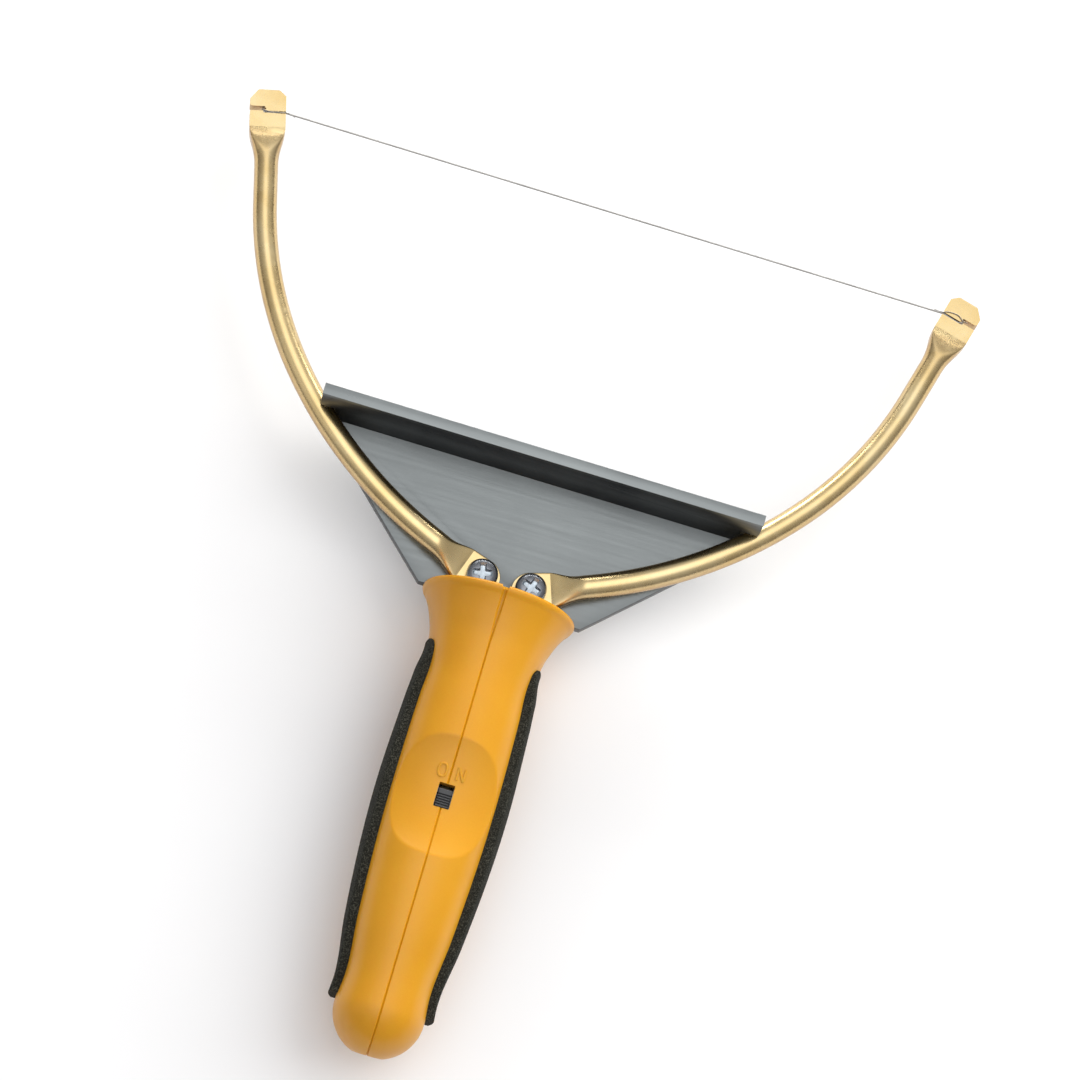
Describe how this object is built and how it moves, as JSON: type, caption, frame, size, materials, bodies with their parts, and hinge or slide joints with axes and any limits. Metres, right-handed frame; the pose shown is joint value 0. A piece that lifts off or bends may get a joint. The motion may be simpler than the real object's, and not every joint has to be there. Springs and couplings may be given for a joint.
{
  "type": "hot wire cutter",
  "caption": "Hand-held hot wire foam cutter: clamshell handle with thumb slide switch, L-shaped guide and a bow of bent rods holding a fine cutting wire.",
  "frame": {"origin": "on the guide's working face, midway between the bow arms and level with the top of the guide plate", "axes": "+Y from the handle towards the cutting wire, +Z out of the switch face, +X to the right seen from the switch face"},
  "size_m": [0.2034, 0.2406, 0.0378],
  "materials": {
    "amber_plastic": "moulded, fine satin texture",
    "black_foam": "closed-cell foam, matte",
    "black_guide": "extruded, satin",
    "satin_brass": "satin",
    "zinc_steel": "zinc plated",
    "resistance_wire": "drawn wire",
    "dark_plastic": "moulded",
    "phenolic": "laminate",
    "white_nylon": "moulded",
    "red_sleeve": "lead insulation",
    "black_sleeve": "lead insulation"
  },
  "bodies": {
    "handle_and_bow": {"handle_shell_left": "amber_plastic", "handle_shell_right": "amber_plastic", "foam_grip_left": "black_foam", "foam_grip_right": "black_foam", "guide_plate": "black_guide", "bow_arm_left": "satin_brass", "bow_arm_right": "satin_brass", "cutting_wire": "resistance_wire", "terminal_bar_left": "satin_brass", "terminal_bar_right": "satin_brass", "terminal_spacer": "white_nylon", "switch_frame": "zinc_steel", "switch_base": "phenolic", "switch_terminal_1": "satin_brass", "switch_terminal_2": "satin_brass", "switch_terminal_3": "satin_brass", "power_jack_body": "dark_plastic", "power_jack_pin": "zinc_steel", "power_jack_contact": "satin_brass", "lead_jack_to_switch": "red_sleeve", "lead_switch_to_bar": "red_sleeve", "lead_jack_to_bar": "black_sleeve", "shell_screw_front": "zinc_steel", "shell_screw_middle": "zinc_steel", "shell_screw_rear": "zinc_steel"},
    "switch_slider": {"switch_knob": "dark_plastic", "switch_contact": "satin_brass"},
    "left_washer": {"lock_washer_left": "zinc_steel"},
    "left_clamp_screw": {"clamp_screw_left": "zinc_steel"},
    "right_washer": {"lock_washer_right": "zinc_steel"},
    "right_clamp_screw": {"clamp_screw_right": "zinc_steel"}
  },
  "joints": [
    {"name": "switch_slide", "type": "slide", "parent": "handle_and_bow", "child": "switch_slider", "axis": [0, 1, 0], "range_m": [0, 0.0014]},
    {"name": "left_screw_lift", "type": "slide", "parent": "handle_and_bow", "child": "left_washer", "axis": [0, 0, 1], "range_m": [0, 0.0028]},
    {"name": "left_screw_turn", "type": "hinge", "parent": "left_washer", "child": "left_clamp_screw", "pos_m": [-0.00655, -0.0334, 0.0036], "axis": [0, 0, 1], "range_deg": [0, 1441.5]},
    {"name": "right_screw_lift", "type": "slide", "parent": "handle_and_bow", "child": "right_washer", "axis": [0, 0, 1], "range_m": [0, 0.0028]},
    {"name": "right_screw_turn", "type": "hinge", "parent": "right_washer", "child": "right_clamp_screw", "pos_m": [0.00655, -0.0334, 0.0036], "axis": [0, 0, 1], "range_deg": [0, 1441.5]}
  ],
  "couplings": [
    {"joint": "left_screw_turn", "follows": "left_screw_lift", "rad_per_m": 8976},
    {"joint": "right_screw_turn", "follows": "right_screw_lift", "rad_per_m": 8976}
  ]
}
